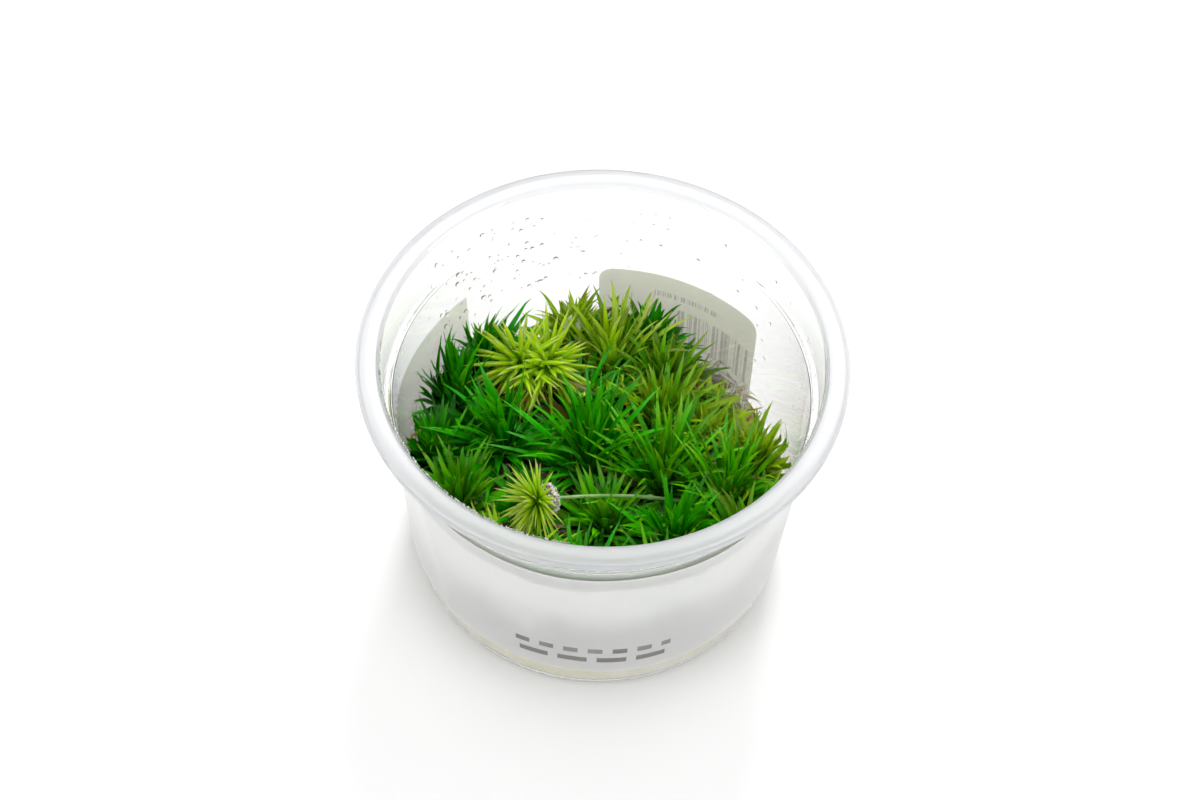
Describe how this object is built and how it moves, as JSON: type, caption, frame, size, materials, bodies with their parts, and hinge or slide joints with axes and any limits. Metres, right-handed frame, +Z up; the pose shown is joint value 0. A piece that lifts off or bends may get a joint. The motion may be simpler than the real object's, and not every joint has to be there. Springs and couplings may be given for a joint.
{
  "type": "tissue culture seven-angle pipewort",
  "caption": "Mat of grassy pipewort rosettes rooted in pale gel, in a clear round tissue culture cup with a wide wrap label, a small back label and an open flanged rim.",
  "frame": {"origin": "centre of the cup's base, on the surface it stands on", "axes": "+Z up out of the cup's mouth, -Y towards the front, where the wide label is"},
  "size_m": [0.101, 0.101, 0.067],
  "materials": {
    "clear_plastic": "clear thin-walled moulding, lightly fogged",
    "nutrient_gel": "pale cloudy gel, wet surface",
    "white_label": "satin white label stock, bare",
    "grey_label": "label stock seen from its gummed side",
    "leaf_deep": "moist satin leaf",
    "leaf_mid": "moist satin leaf",
    "leaf_olive": "moist satin leaf, ageing",
    "leaf_yellow": "moist satin leaf, pale"
  },
  "bodies": {
    "root": {"cup": "clear_plastic", "gel": "nutrient_gel", "wrap_label": "white_label", "back_label": "grey_label", "plantlet_left_back": "leaf_deep", "plantlet_left": "leaf_deep", "plantlet_left_inner": "leaf_deep", "plantlet_back_left": "leaf_deep", "plantlet_back_wall": "leaf_deep", "plantlet_back_right": "leaf_deep", "plantlet_centre": "leaf_deep", "plantlet_centre_back": "leaf_deep", "plantlet_right_front": "leaf_deep", "plantlet_front_inner_right": "leaf_deep", "plantlet_front_inner_left": "leaf_deep", "plantlet_front": "leaf_deep", "plantlet_left_front": "leaf_mid", "plantlet_inner_right": "leaf_mid", "plantlet_right_inner": "leaf_mid", "plantlet_centre_right": "leaf_mid", "plantlet_right": "leaf_mid", "plantlet_right_corner": "leaf_mid", "plantlet_front_inner": "leaf_mid", "plantlet_front_right": "leaf_mid", "plantlet_back_inner_left": "leaf_olive", "plantlet_front_left": "leaf_olive", "plantlet_back": "leaf_yellow", "plantlet_right_back": "leaf_yellow", "plantlet_pale": "leaf_yellow", "flower_stalk": "leaf_yellow"}
  },
  "joints": []
}
